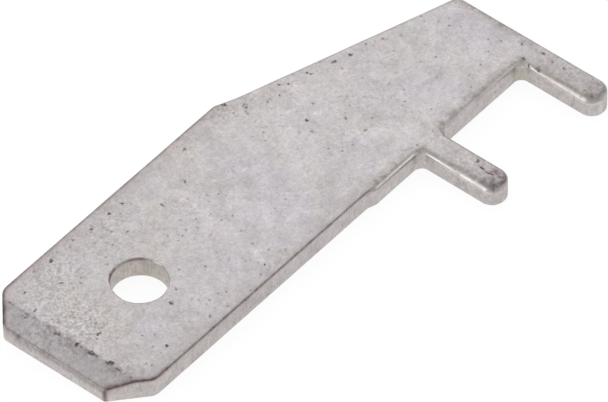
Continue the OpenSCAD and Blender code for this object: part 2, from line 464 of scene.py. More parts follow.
@dataclass
class TabTerminal:
    """The whole terminal: blade, body and two solder pins, stamped as one piece. Sizes are in millimetres."""

    blade_width: float = 6.3
    blade_length: float = 11.75
    tip_to_hole: float = 4.15
    hole_diameter: float = 1.9
    tip_width: float = 4.26
    tip_offset: float = 0.07
    chamfer_angle: float = 41.5
    tip_low_radius: float = 0.15
    tip_high_radius: float = 0.36
    heel_radius: float = 0.55
    lead_in_length: float = 0.8
    lead_in_drop: float = 0.26
    overall_length: float = 20.4
    end_height: float = 3.45
    back_start: float = 11.4
    trim_overrun: float = 0.1
    trim_blend: float = 0.8
    break_radius: float = 0.6
    end_corner_radius: float = 0.42
    seat_step: float = 0.11
    seat_step_run: float = 0.3
    step_radius: float = 0.3
    pin_pitch: float = 5.08
    pin_width: float = 1.02
    pin_length: float = 3.08
    pin_end_flat: float = 0.04
    pin_root_radius: float = 0.3
    edge_roll: float = 0.17
    seat_roll: float = 0.28
    pin_roll: float = 0.38
    far_roll: float = 0.14
    end_roll: float = 0.2
    blade_roll: float = 0.05
    hole_roll: float = 0.07
    wall_step: float = 0.06
    arc_step: float = 0.05
    face_step: float = 0.09
    bevel_step: float = 0.063
    fine_step: float = 0.028
    inner_pin_set: float = 0.022
    edge: CutEdge = field(default_factory=CutEdge)

    @property
    def tip_x(self) -> float:
        """Place of the tip along the part."""
        return -self.tip_to_hole

    @property
    def seat_y(self) -> float:
        """Place of the board seat across the part."""
        return -self.blade_width / 2 - self.seat_step

    @property
    def seat_x(self) -> float:
        """Place along the part where the board seat starts."""
        return self.tip_x + self.blade_length + self.seat_step_run

    @property
    def end_x(self) -> float:
        """Place of the end side along the part."""
        return self.tip_x + self.overall_length

    @property
    def bevel_x(self) -> float:
        """Place along the part where the lead-in bevel starts."""
        return self.tip_x + self.lead_in_length

    def pin_left(self, pitches: int) -> float:
        """Place of the left side of the pin that stands so many pitches from the end side."""
        return self.end_x - self.pin_width - pitches * self.pin_pitch

    def corners(self) -> list[Corner]:
        """The outline's corners, in order round the part with the metal on the left."""
        side = self.blade_width / 2
        seat = self.seat_y
        end_y = seat + self.end_height
        pin_y = seat - self.pin_length
        pin_radius = (self.pin_width - self.pin_end_flat) / 2
        low, high = self.tip_offset - self.tip_width / 2, self.tip_offset + self.tip_width / 2
        slope = math.tan(math.radians(self.chamfer_angle))
        back_fall = (side - end_y) / (self.overall_length - self.back_start)
        break_at = self.back_start + self.trim_overrun
        blend_at = break_at + self.trim_blend
        blend_y = side - back_fall * (blend_at - self.back_start)
        step_x = self.tip_x + self.blade_length
        body, seat_side, pin, blade = self.edge_roll, self.seat_roll, self.pin_roll, self.blade_roll
        at_root, at_end = pin * 0.8, pin * 0.9
        made = [
            Corner(self.tip_x, low, self.tip_low_radius, blade),
            Corner(self.tip_x + (low + side) / slope, -side, self.heel_radius, blade),
            Corner(step_x, -side, self.step_radius, blade),
            Corner(step_x + self.seat_step_run, seat, self.step_radius, body, seat_side),
        ]
        for right in (self.end_x - self.pin_pitch - self.inner_pin_set, self.end_x):
            left = right - self.pin_width
            made.append(Corner(left, seat, self.pin_root_radius, seat_side, at_root))
            made.append(Corner(left, pin_y, pin_radius, pin, at_end))
            made.append(Corner(right, pin_y, pin_radius, at_end, self.far_roll))
            if right < self.end_x:
                made.append(Corner(right, seat, self.pin_root_radius, self.far_roll, seat_side))
        made += [
            Corner(self.end_x, end_y, self.end_corner_radius, self.end_roll),
            Corner(self.tip_x + blend_at, blend_y, self.break_radius, self.far_roll),
            Corner(self.tip_x + break_at, side, self.break_radius, blade),
            Corner(self.tip_x + (side - high) / slope, side, self.heel_radius, blade),
            Corner(self.tip_x, high, self.tip_high_radius, blade),
        ]
        return made

    def outline_ring(self, bm: BMesh) -> list[BMVert]:
        """Draws the rounded outline as a ring of short edges.

        Args:
            bm: the mesh that it is drawn in.

        Returns:
            The ring's vertices in order, each with the width of its roll.
        """
        roll = layers_of(bm)[Layer.ROLL]
        corners = self.corners()
        arcs: list[tuple[BMVert, BMVert]] = []
        for index, corner in enumerate(corners):
            before = (corner.place - corners[index - 1].place).normalized()
            after = (corners[(index + 1) % len(corners)].place - corner.place).normalized()
            turn = math.atan2(before.cross(after).z, before.dot(after))
            start = corner.place - before * corner.radius * math.tan(abs(turn) / 2)
            inward = before.cross(UP) * -math.copysign(1.0, turn)
            first = bm.verts.new(start)
            spun = bmesh.ops.spin(
                bm,
                geom=[first],
                cent=start + inward * corner.radius,
                axis=UP,
                angle=turn,
                steps=max(1, math.ceil(abs(turn) * corner.radius / self.arc_step)),
                use_merge=False,
                use_duplicate=False,
            )
            arcs.append((first, next(g for g in spun["geom_last"] if isinstance(g, BMVert))))
        sides = [bm.edges.new((arcs[i - 1][1], arcs[i][0])) for i in range(len(arcs))]
        ring = walk(arcs[0][0])
        order = {vert: index for index, vert in enumerate(ring)}
        for (first, last), corner in zip(arcs, corners):
            arc = ring[order[first] : order[last] + 1]
            for step, vert in enumerate(arc):
                vert[roll] = corner.roll_at(step / max(1, len(arc) - 1))
        for side in sides:
            cuts = math.ceil(side.calc_length() / self.wall_step) - 1
            if cuts > 0:
                bmesh.ops.subdivide_edges(bm, edges=[side], cuts=cuts)
        bm.verts.ensure_lookup_table()
        return walk(bm.verts[0])

    def hole_ring(self, bm: BMesh) -> list[BMVert]:
        """Draws the detent hole's ring at the lower face and returns its vertices in order."""
        roll = layers_of(bm)[Layer.ROLL]
        count = math.ceil(math.pi * self.hole_diameter / self.arc_step)
        made = bmesh.ops.create_circle(bm, cap_ends=False, segments=count, radius=self.hole_diameter / 2)
        for vert in made["verts"]:
            round_at = math.degrees(math.atan2(vert.co.y, vert.co.x))
            sharper = max(fall(abs(round_at + 45), 45, 20), rise(round_at, 128, 20))
            vert[roll] = self.hole_roll * (1.0 - 0.7 * sharper)
        return walk(made["verts"][0])

    def build(self) -> bpy.types.Object:
        """Models the whole piece and returns its object, smooth, with the layers that its finish reads."""
        bm = bmesh.new()
        for layer in Layer:
            bm.verts.layers.float.new(layer.value)
        bm.faces.layers.int.new("side")
        tops: list[BMEdge] = []
        bottoms: list[BMEdge] = []
        outline = self.outline_ring(bm)
        rim = tree_of([vert.co.xy for vert in outline])
        for ring, outward in ((outline, 1.0), (self.hole_ring(bm), -1.0)):
            lower, upper = self.raise_wall(bm, ring, outward)
            bottoms += lower
            tops += upper
        thickness = self.edge.thickness
        cover(bm, bottoms, Side.LOWER, self.face_step * 2, (0.0, 0.0))
        cover(bm, tops, Side.UPPER, self.face_step, (thickness, 0.0))
        self.coin_lead_in(bm)
        self.refine_near_marks(bm)
        bmesh.ops.recalc_face_normals(bm, faces=bm.faces[:])
        self.work_surface(bm, rim)
        bmesh.ops.scale(bm, vec=(MM, MM, MM), verts=bm.verts[:])
        return finished_object(bm, "tab_terminal_sheet")

    def raise_wall(self, bm: BMesh, ring: list[BMVert], outward: float) -> tuple[list[BMEdge], list[BMEdge]]:
        """Extrudes a ring up through the strip, along the cut edge's section.

        Args:
            bm: the mesh.
            ring: the ring at the lower face, in order.
            outward: 1 round the outline, -1 round a hole.

        Returns:
            The edges of the lowest ring and of the highest one.
        """
        layers = layers_of(bm)
        feet = [vert.co.copy() for vert in ring]
        if outward > 0:
            neighbours = zip(feet[-1:] + feet[:-1], feet[1:] + feet[:1])
            outs = [(after - before).cross(UP).normalized() for before, after in neighbours]
        else:
            outs = [-foot.normalized() for foot in feet]
        sections = [self.edge.section(vert[layers[Layer.ROLL]]) for vert in ring]
        levels = len(sections[0])
        roll_start = levels - 1 - self.edge.roll_steps
        lowest = ring_edges(ring)
        for level in range(levels):
            if level:
                ring = extruded_ring(bm, ring)
            up_roll = max(0.0, (level - roll_start) / self.edge.roll_steps)
            for vert, foot, out, section in zip(ring, feet, outs, sections):
                draw, height = section[level]
                vert.co = foot - out * draw + UP * height
                from_crest = math.dist(section[level], section[roll_start])
                vert[layers[Layer.CUT]] = max(0.0, 1.0 - up_roll * 3) if level else 0.5
                vert[layers[Layer.ROLLED]] = math.sin(math.pi * min(1.0, up_roll)) if level else 0.0
                vert[layers[Layer.CREST]] = closeness(from_crest, CREST_REACH)
        return lowest, ring_edges(ring)

    def coin_lead_in(self, bm: BMesh) -> None:
        """Cuts the lead-in bevel across the tip and covers it."""
        thickness = self.edge.thickness
        slope = self.lead_in_drop / self.lead_in_length
        bmesh.ops.bisect_plane(
            bm,
            geom=bm.verts[:] + bm.edges[:] + bm.faces[:],
            dist=1e-5,
            plane_co=(self.bevel_x, 0.0, thickness),
            plane_no=Vector((-slope, 0.0, 1.0)).normalized(),
            clear_outer=True,
        )
        rim = [edge for edge in bm.edges if edge.is_boundary]
        cover(bm, rim, Side.LEAD_IN, self.bevel_step, (thickness - slope * self.bevel_x, slope))

    def refine_near_marks(self, bm: BMesh) -> None:
        """Splits the faces under the marks and at the bevel's inner edge until they can carry the relief."""
        side = bm.faces.layers.int["side"]
        spots = tree_of([(pit.x, pit.y) for pit in PITS])
        faces_up = (Side.UPPER.value, Side.LEAD_IN.value)
        for _ in range(3):
            long = []
            for edge in bm.edges:
                length = edge.calc_length()
                is_up = all(face[side] in faces_up for face in edge.link_faces)
                if length < self.fine_step * SPLIT_FROM or not is_up:
                    continue
                middle = (edge.verts[0].co + edge.verts[1].co) / 2
                _, index, distance = spots.find((middle.x, middle.y, 0.0))
                gap = min(distance - PITS[index].length / 2, abs(middle.x - self.bevel_x) + 0.02)
                if any(scratch.nearness(middle) > 0 for scratch in SCRATCHES):
                    gap = 0.0
                if length > SPLIT_FROM * (self.fine_step + 0.5 * max(0.0, gap)):
                    long.append(edge)
            if not long:
                break
            bmesh.ops.subdivide_edges(bm, edges=long, cuts=1, use_grid_fill=True)
            bmesh.ops.triangulate(bm, faces=[face for face in bm.faces if len(face.verts) > 4])

    def work_surface(self, bm: BMesh, rim: KDTree) -> None:
        """Gives every point its unevenness, its pits and what the finish reads there.

        Args:
            bm: the mesh.
            rim: the outline's points at the lower face.
        """
        layers = layers_of(bm)
        bm.normal_update()
        spots = tree_of([(pit.x, pit.y) for pit in PITS])
        moves: list[Vector] = []
        for vert in bm.verts:
            at, up = vert.co, max(0.0, vert.normal.z)
            gap = rim.find((at.x, at.y, 0.0))[2]
            spot = Spot(at, vert.normal, gap, vert[layers[Layer.ROLLED]], vert[layers[Layer.CREST]])
            soil, bright, dent = marks_at(at, spots) if up > 0.4 else (0.0, 0.0, 0.0)
            patch = tint_at(at)
            # Painted light: the shade here also lightens the seat's steep roll, the staining layer carries
            # painted shade on the pins and the seat's roll, and the burnishing layer carries painted
            # highlights.
            shade = patch.shade * rise(up, 0.25, 0.5) + self.wall_shade(spot) + self.roll_shade(spot)
            values = {
                Layer.SOIL: max(soil, self.bevel_line(spot)),
                Layer.STAIN_AND_SHADE: max(self.edge_stain_and_shade(spot), self.pin_wear_and_shade(spot)),
                Layer.SHADE: shade,
                Layer.COOL: patch.cool,
                Layer.GRIT: patch.grit,
                Layer.TARNISH: self.tarnish(spot),
                Layer.BURNISH_AND_HIGHLIGHT: max(bright, self.burnish_and_highlight(spot)),
            }
            for layer, value in values.items():
                vert[layers[layer]] = value
            swell = sum(noise.noise(at * scale) * height for scale, height in WAVES)
            moves.append(vert.normal * (swell * (0.4 + 0.6 * up) - dent))
        for vert, move in zip(bm.verts, moves):
            vert.co += move
        self.keep_in_box(bm)

    def bevel_line(self, spot: Spot) -> float:
        """Dirt that sits in the line where the lead-in bevel starts, from 0 to 1."""
        if spot.normal.z < 0.5:
            return 0.0
        return 0.8 * closeness(abs(spot.at.x - self.bevel_x), 0.06) * spot.blotches(1.8, 0.65)

    def edge_stain_and_shade(self, spot: Spot) -> float:
        """Brown staining along the edges, with painted shade on the seat's roll, from 0 to 1."""
        if spot.from_hole < self.hole_diameter / 2 + self.hole_roll + 0.02:
            return self.hole_stain(spot)
        if self.by_seat(spot.at):
            return self.seat_stain_and_shade(spot)
        return max(0.0, self.blade_stain(spot), self.tip_stain(spot))

    def hole_stain(self, spot: Spot) -> float:
        """The staining round the hole, which is strongest at its upper left."""
        left = rise(spot.round_at, 88, 12) * fall(spot.round_at, 146, 25)
        top = rise(spot.round_at, 28, 10) * fall(spot.round_at, 78, 12)
        return spot.on_edge * 0.9 * max(left, 0.8 * top, 0.2) * (0.3 + 0.9 * spot.fine)

    def blade_stain(self, spot: Spot) -> float:
        """The staining along the blade's sides and chamfers, which is strongest near the tip."""
        at, side = spot.at, self.side_gap(spot.at)
        near_tip = fall(at.x, -2.0, 0.6)
        stain_and_shade = 0.0
        if at.y < 0 and at.x > self.tip_x + 0.02:
            stain_and_shade = spot.on_edge * (0.60 + 0.2 * spot.uneven + 0.3 * near_tip)
            if spot.on_face:
                band = closeness(side - 0.04, 0.14 + 0.05 * near_tip)
                stain_and_shade = max(stain_and_shade, (0.36 + 0.5 * near_tip) * band)
            elif at.z > self.edge.thickness - 0.4:
                below = self.edge.thickness - self.blade_roll - at.z - self.lead_in_fall(at)
                stain_and_shade = max(stain_and_shade, 0.5 * near_tip * closeness(below, 0.1))
        elif at.y > 0:
            stain_and_shade = spot.on_edge * (0.5 + 0.4 * near_tip)
            if spot.on_face:
                stain_and_shade = max(stain_and_shade, (0.6 + 0.3 * near_tip) * closeness(side - 0.05, 0.12))
        if spot.on_face:
            stain_and_shade = max(stain_and_shade, 0.20 * math.exp(-((side / 0.55) ** 2)))
        return stain_and_shade * fall(at.x, 8.6, 1.5)

    def tip_stain(self, spot: Spot) -> float:
        """The staining where the bevel starts, along the tip's top edge and down its near corner."""
        at = spot.at
        stain_and_shade = 0.0
        past = self.bevel_x - at.x
        if spot.on_face and -0.06 < past < 1.0:
            broken = 0.3 + 1.3 * spot.blotches(1.8, 0.45)
            near_side = 0.15 + 0.19 * fall(at.y, 1.2, 0.6)
            stain_and_shade = near_side * math.exp(-max(0.0, past) / 0.26) * broken
            line = 0.42 * closeness(abs(past), 0.08) * broken
            stain_and_shade = max(stain_and_shade, line, 0.05 + 0.12 * spot.blotches(2.0, 0.9))
        top = self.edge.thickness - self.lead_in_drop
        if at.x < self.tip_x + 0.07 and at.z > top - 0.16:
            streak = 0.5 + 0.5 * noise.noise(Vector((at.y * 6.0, at.z * 11.0, 9.0)))
            below = fall(at.z, top, 0.05) * rise(at.z, top - 0.16, 0.06)
            line = closeness(abs(at.z - top), 0.08) * (0.42 + 0.26 * rise(at.y, 0.2, 0.5))
            streaks = 0.42 * below * smooth_step(streak * 2.2 - 0.7)
            stain_and_shade = max(stain_and_shade, line * (0.3 + 1.2 * spot.fine), streaks)
        if spot.normal.z < 0.5:
            corner_gap = math.hypot(at.x - self.tip_x, at.y - (self.tip_offset - self.tip_width / 2))
            stain_and_shade = max(stain_and_shade, 0.95 * closeness(corner_gap, 0.14))
        return stain_and_shade

    def seat_stain_and_shade(self, spot: Spot) -> float:
        """Soft, mottled darkening where the upper face turns down to the board seat and the end side: brown
        staining, and painted shade where the roll starts.
        """
        at, up = spot.at, spot.normal.z
        if up < 0.35:
            return 0.45 * fall(at.x, self.pin_left(1), 0.2) * spot.crested
        reach = fall(spot.gap, 0.46, 0.26) * (0.35 + 0.65 * rise(up, 0.8, 0.18)) * rise(up, 0.55, 0.2)
        reach *= max(fall(at.y, self.seat_y + 0.6, 0.15), rise(at.x, self.end_x - 0.5, 0.25))
        return 0.28 * reach * (0.1 + 0.4 * spot.uneven + 1.5 * spot.blotches(2.0, 0.7))

    def by_seat(self, at: Vector) -> bool:
        """Whether a point lies near the board seat or the end side."""
        reach = self.end_height if at.x > self.end_x - 0.5 else 0.6
        return at.x > self.seat_x and self.seat_y - 0.1 < at.y < self.seat_y + reach

    def side_gap(self, at: Vector) -> float:
        """How far a point of the blade stands in from its sides and chamfers, leaving out the tip itself."""
        turn = math.radians(self.chamfer_angle)
        inwards = (at.x - self.tip_x) * math.sin(turn)
        low = inwards + (at.y - self.tip_offset + self.tip_width / 2) * math.cos(turn)
        high = inwards - (at.y - self.tip_offset - self.tip_width / 2) * math.cos(turn)
        return max(0.0, min(self.blade_width / 2 - abs(at.y), low, high))

    def lead_in_fall(self, at: Vector) -> float:
        """How far the lead-in bevel has come down at a point."""
        return self.lead_in_drop * closeness(at.x - self.tip_x, self.lead_in_length)

    def wall_shade(self, spot: Spot) -> float:
        """How much darker a cut wall is near its top at the tip, and lighter near its foot."""
        if spot.normal.z > 0.35 or spot.from_hole < self.hole_diameter:
            return 0.0
        on_tip = fall(spot.at.x, self.tip_x + 0.15, 0.1)
        high = rise(spot.at.z, 0.22, 0.2)
        return fall(spot.at.x, -2.6, 0.3) * (high * (0.05 + 0.17 * on_tip) - 0.05)

    def roll_shade(self, spot: Spot) -> float:
        """Painted light: how much lighter the steep part of the rolled edge at the seat between the pins is
        painted, where the lighting leaves it dark.
        """
        right_of_inner = self.pin_left(1) + self.pin_width - 0.05
        if not (right_of_inner < spot.at.x < self.pin_left(0) and self.by_seat(spot.at)):
            return 0.0
        steep = rise(spot.normal.z, 0.2, 0.15) * fall(spot.normal.z, 0.97, 0.12)
        return -0.10 * steep * (0.6 + 0.8 * spot.fine)

    def tarnish(self, spot: Spot) -> float:
        """Share of the olive tarnish: along the seat, on the hole's wall and in the corner at the end pin."""
        if spot.normal.z > 0.5:
            return 2.0 * self.seat_stain_and_shade(spot) if self.by_seat(spot.at) else 0.0
        if spot.from_hole < self.hole_diameter:
            return 0.2 + 0.5 * fall(spot.round_at, 110, 60)
        from_root = math.hypot(spot.at.x - self.pin_left(0) + 0.15, spot.at.y - self.seat_y)
        return fall(from_root, 0.455, 0.35) * (0.6 + 0.4 * spot.uneven)

    def burnish_and_highlight(self, spot: Spot) -> float:
        """How brightly the roll is burnished on the pins' left sides, the seat and the hole, from 0 to 1:
        smoother there, and lighter in colour as a painted highlight.
        """
        at, normal = spot.at, spot.normal
        if spot.rolled < 0.01 and spot.crest < 0.8:
            return 0.0
        # Painted light on the hole's rim, with a painted glint on its +X side.
        if spot.from_hole < self.hole_diameter:
            glint = fall(abs(spot.round_at - 4), 9, 4) * spot.blotches(2.4, 0.8)
            return min(1.0, 0.4 * fall(abs(spot.round_at + 20), 60, 20) + 0.8 * glint)
        # Painted highlight along the steep part of each pin's left roll, where it faces the left light.
        if at.y < self.seat_y - 0.1 and normal.x < 0:
            pin = self.pin_at(at)
            steep = rise(-normal.x, pin.steep_from, 0.15) * rise(normal.z, 0.05, 0.1)
            return steep * (pin.dullest + 0.65 * pin.shine(spot))
        # Painted highlight along the steep part of the seat's roll, left of the inner pin.
        if self.seat_x < at.x < self.pin_left(1) - 0.15 and at.y < self.seat_y + 0.3:
            steep = rise(-normal.y, 0.5, 0.1) * fall(-normal.y, 0.93, 0.1)
            return steep * (0.4 + 0.5 * INNER_PIN.shine(spot))
        return 0.0

    def pin_at(self, at: Vector) -> PinWearAndPaintedLight:
        """The wear and painted light of the pin that is nearest along the part."""
        return END_PIN if at.x > self.end_x - self.pin_pitch / 2 else INNER_PIN

    def pin_wear_and_shade(self, spot: Spot) -> float:
        """How much brown wear and painted shade lies on a pin, from 0 to 1: the band along the lower side of
        its face is painted shade with a brown tint, and the darker end is wear and painted shade.
        """
        at, up = spot.at, spot.normal.z
        down = (self.seat_y - at.y) / self.pin_length
        if down < -0.15 or up < 0.08:
            return 0.0
        pin = self.pin_at(at)
        inner = at.x - self.pin_left(pin.pitches_from_end)
        low_side = pin.low_side * fall(inner, pin.reach, 0.25) * rise(down, 0.08, 0.25)
        end = pin.end * rise(down, 0.68, 0.18) * rise(up, 0.55, 0.3) * (0.35 + 0.65 * fall(inner, 0.96, 0.2))
        worn = max(low_side, end, pin.all_over * rise(down, -0.1, 0.3)) * rise(up, 0.3, 0.4)
        return max(0.0, worn * (0.55 + 0.5 * spot.uneven + 1.8 * (spot.fine - 0.5)))

    def keep_in_box(self, bm: BMesh) -> None:
        """Holds every point inside the box of the solid model."""
        low, high = (Vector(corner) / MM for corner in CAD_BOX)
        for vert in bm.verts:
            vert.co = Vector(min(max(value, a), b) for value, a, b in zip(vert.co, low, high))


def smooth_step(value: float) -> float:
    """Eases a value from 0 to 1."""
    held = min(1.0, max(0.0, value))
    return held * held * (3 - 2 * held)


def rise(value: float, start: float, over: float) -> float:
    """Eases from 0 at a start to 1, over a distance."""
    return smooth_step((value - start) / over)


def fall(value: float, end: float, over: float) -> float:
    """Eases from 1 down to 0 at an end, over a distance."""
    return smooth_step((end - value) / over)


def closeness(distance: float, reach: float) -> float:
    """1 at no distance and 0 from the reach on, evenly between."""
    return max(0.0, 1.0 - distance / reach)


def tree_of(places: Sequence[Sequence[float]]) -> KDTree:
    """A search tree of places in the plane of the lower face."""
    tree = KDTree(len(places))
    for index, (x, y) in enumerate(places):
        tree.insert((x, y, 0.0), index)
    tree.balance()
    return tree


def layers_of(bm: BMesh) -> dict[Layer, BMLayerItem]:
    """The mesh's layers."""
    return {layer: bm.verts.layers.float[layer.value] for layer in Layer}


def marks_at(at: Vector, spots: KDTree) -> tuple[float, float, float]:
    """Gathers the pits and scratches at a point of the upper face.

    Args:
        at: the point.
        spots: the pits' middles.

    Returns:
        How dirty and how bright it is there, from 0 to 1, and how deep the marks go.
    """
    soil = bright = dent = 0.0
    ragged = at + noise.noise_vector(at * RAGGED_SCALE) * RAGGED_SHIFT
    for _, index, _ in spots.find_range((at.x, at.y, 0.0), PIT_REACH):
        pit = PITS[index]
        dent += pit.depth * pit.nearness(ragged)
        soil = max(soil, pit.soil * pit.nearness(ragged, DIRT_SPREAD))
    for scratch in SCRATCHES:
        near = scratch.nearness(at)
        dent += SCRATCH_DEPTH * near
        soil = max(soil, scratch.soil * near)
        bright = max(bright, scratch.bright * near)
    return soil, bright, dent


def tint_at(at: Vector) -> Patch:
    """Sums the soft patches at a point, as a patch of its own."""
    cool = shade = grit = 0.0
    for patch in PATCHES:
        gap = math.hypot(at.x - patch.x, at.y - patch.y) / patch.radius
        near = math.exp(-gap * gap)
        cool += patch.cool * near
        shade += patch.shade * near
        grit += patch.grit * near
    return Patch(at.x, at.y, 0.0, cool, shade, grit)


def walk(start: BMVert) -> list[BMVert]:
    """Follows a closed ring of edges from a vertex, with the metal on the left, and returns its vertices."""
    ring = [start]
    edge = start.link_edges[0]
    vert = edge.other_vert(start)
    while vert is not start:
        ring.append(vert)
        edge = next(e for e in vert.link_edges if e is not edge)
        vert = edge.other_vert(vert)
    area = sum(a.co.x * b.co.y - b.co.x * a.co.y for a, b in zip(ring, ring[1:] + ring[:1]))
    return ring if area > 0 else [ring[0]] + ring[:0:-1]


def ring_edges(ring: list[BMVert]) -> list[BMEdge]:
    """The edges between a ring's neighbours."""
    pairs = zip(ring, ring[1:] + ring[:1])
    return [next(e for e in a.link_edges if e.other_vert(a) is b) for a, b in pairs]


def extruded_ring(bm: BMesh, ring: list[BMVert]) -> list[BMVert]:
    """Extrudes a ring of edges and returns the new ring, in the same order."""
    made = bmesh.ops.extrude_edge_only(bm, edges=ring_edges(ring))
    fresh = {item for item in made["geom"] if isinstance(item, BMVert)}
    return [next(e.other_vert(v) for e in v.link_edges if e.other_vert(v) in fresh) for v in ring]


def cover(bm: BMesh, rim: list[BMEdge], which: Side, step: float, lift: tuple[float, float]) -> None:
    """Closes a face with an even mesh: a grid in its middle, and triangles from there to its rim.

    Args:
        bm: the mesh.
        rim: the edges round the face and round its holes.
        which: the kind of surface that it is.
        step: the size of the grid's squares.
        lift: height of the face at x = 0, and how much it rises for each millimetre along x.
    """
    side = bm.faces.layers.int["side"]
    corners = list(dict.fromkeys(vert for edge in rim for vert in edge.verts))
    near_rim = tree_of([vert.co.xy for vert in corners])
    rough = fill(bm, rim)
    flat = [(vert.co.x, vert.co.y, 0.0) for face in rough for vert in face.verts]
    under = BVHTree.FromPolygons(flat, [(i, i + 1, i + 2) for i in range(0, len(flat), 3)])
    bmesh.ops.delete(bm, geom=rough, context="FACES")
    low = Vector((min(v.co.x for v in corners), min(v.co.y for v in corners), 0.0))
    high = Vector((max(v.co.x for v in corners), max(v.co.y for v in corners), 0.0))
    half = (high - low) / 2
    grid = bmesh.ops.create_grid(
        bm,
        x_segments=math.ceil(half.x * 2 / step),
        y_segments=math.ceil(half.y * 2 / step),
        size=1.0,
        matrix=Matrix.Translation((low + high) / 2) @ Matrix.Diagonal((half.x, half.y, 1.0, 1.0)),
    )["verts"]
    clearance = step * 0.7
    outside = []
    for vert in grid:
        at = Vector((vert.co.x, vert.co.y, 0.0))
        clear = near_rim.find(at)[2] > clearance
        if not clear or under.ray_cast(at + UP, -UP)[0] is None:
            outside.append(vert)
    bmesh.ops.delete(bm, geom=outside, context="VERTS")
    kept = [vert for vert in grid if vert.is_valid]
    bmesh.ops.delete(bm, geom=[vert for vert in kept if not vert.link_faces], context="VERTS")
    kept = [vert for vert in kept if vert.is_valid]
    for vert in kept:
        vert.co.z = lift[0] + lift[1] * vert.co.x
    for face in {face for vert in kept for face in vert.link_faces}:
        face[side] = which.value
    bay = list(dict.fromkeys(edge for vert in kept for edge in vert.link_edges if edge.is_boundary))
    for face in fill(bm, rim + bay):
        face[side] = which.value


def fill(bm: BMesh, edges: list[BMEdge]) -> list[BMFace]:
    """Fills between closed runs of edges with triangles and returns them."""
    made = bmesh.ops.triangle_fill(bm, use_beauty=True, use_dissolve=False, edges=edges, normal=UP)
    return [item for item in made["geom"] if isinstance(item, BMFace)]


def finished_object(bm: BMesh, name: str) -> bpy.types.Object:
    """Turns a finished mesh into a smooth object at the origin and frees the mesh."""
    mesh = bpy.data.meshes.new(name)
    bm.to_mesh(mesh)
    bm.free()
    mesh.shade_smooth()
    made = bpy.data.objects.new(name, mesh)
    bpy.context.scene.collection.objects.link(made)
    return made


Socket = bpy.types.NodeSocket
Colour = tuple[float, float, float, float]
Feed = Socket | float | Colour


@dataclass(frozen=True)
class Clouds:
    """A cloudy pattern: its features to a millimetre, and two levels of noise eased to two values."""

    scale: float
    detail: float
    rough: float
    low: float
    high: float
    at_low: float
    at_high: float
    warp: float = 0.0


@dataclass
class Bench:
    """A material's node tree, with short ways to add the nodes that the finishes use."""

    tree: bpy.types.NodeTree

    def feed(self, socket: Socket, value: Feed) -> None:
        """Links a socket, or sets it where the value is a plain number or colour."""
        if isinstance(value, bpy.types.NodeSocket):
            self.tree.links.new(value, socket)
        else:
            socket.default_value = value

    def add(self, kind: str, inputs: dict[int | str, Feed] | None = None) -> bpy.types.Node:
        """Adds a node.

        Args:
            kind: its kind, as Blender names it after "ShaderNode".
            inputs: what goes into each of its inputs that doesn't keep its own value.

        Returns:
            The node.
        """
        node = self.tree.nodes.new("ShaderNode" + kind)
        for name, value in (inputs or {}).items():
            self.feed(node.inputs[name], value)
        return node

    def chain(self, operation: str, first: Feed, *others: Feed) -> Socket:
        """Works values into one, by Math nodes in a row.

        Args:
            operation: their operation, as Blender names it.
            first: the first value.
            others: the values that come in one after another.

        Returns:
            The last result.
        """
        for other in others:
            node = self.add("Math", {0: first, 1: other})
            node.operation = operation
            first = node.outputs[0]
        return first

    def times(self, *values: Feed) -> Socket:
        """The product of values."""
        return self.chain("MULTIPLY", *values)

    def plus(self, *values: Feed) -> Socket:
        """The sum of values."""
        return self.chain("ADD", *values)

    def spread(self, value: Socket, low: float, high: float, at_low: float, at_high: float) -> Socket:
        """Eases a value between two limits to a new pair of limits.

        Args:
            value: the value.
            low: where it starts to rise.
            high: where it has risen.
            at_low: the result at and below the first limit.
            at_high: the result at and above the second limit.

        Returns:
            The eased value.
        """
        limits = {"From Min": low, "From Max": high, "To Min": at_low, "To Max": at_high}
        node = self.add("MapRange", {"Value": value, **limits})
        node.interpolation_type = "SMOOTHSTEP"
        return node.outputs["Result"]

    def mixed(self, share: Feed, first: Feed, second: Feed, way: str = "MIX") -> Socket:
        """Mixes two colours.

        Args:
            share: how much of the second one.
            first: the first colour.
            second: the second colour.
            way: the blend type.

        Returns:
            The mixed colour.
        """
        node = self.add("Mix")
        node.data_type = "RGBA"
        node.blend_type = way
        for index, value in ((0, share), (6, first), (7, second)):
            self.feed(node.inputs[index], value)
        return node.outputs[2]

    def tinted(self, first: Feed, second: Feed) -> Socket:
        """One colour multiplied by another."""
        return self.mixed(1.0, first, second, "MULTIPLY")

    def attribute(self, layer: Layer) -> Socket:
        """One of the mesh's layers."""
        node = self.add("Attribute")
        node.attribute_name = layer.value
        return node.outputs["Fac"]

    def millimetres(self, turn: float = 0.0, stretch: tuple[float, ...] = (1.0, 1.0, 1.0)) -> Socket:
        """Object coordinates in millimetres, turned about Z and stretched.

        Args:
            turn: the turn in degrees.
            stretch: a factor for each axis.

        Returns:
            The coordinates.
        """
        place = self.add("TexCoord").outputs["Object"]
        turned = self.add("Mapping", {"Vector": place, "Rotation": (0.0, 0.0, math.radians(turn))})
        scale = tuple(value / MM for value in stretch)
        return self.add("Mapping", {"Vector": turned.outputs[0], "Scale": scale}).outputs[0]

    def noise(self, at: Socket, scale: float, detail: float, rough: float, warp: float = 0.0) -> Socket:
        """A Noise texture's value.

        Args:
            at: the coordinates.
            scale: how many features there are to a millimetre.
            detail: its detail.
            rough: how strong the finer detail is.
            warp: its distortion.

        Returns:
            A value from 0 to 1.
        """
        looks = {"Scale": scale, "Detail": detail, "Roughness": rough, "Distortion": warp}
        return self.add("TexNoise", {"Vector": at, **looks}).outputs["Fac"]

    def clouds(self, at: Socket, look: Clouds) -> Socket:
        """A cloudy pattern's value."""
        value = self.noise(at, look.scale, look.detail, look.rough, look.warp)
        return self.spread(value, look.low, look.high, look.at_low, look.at_high)


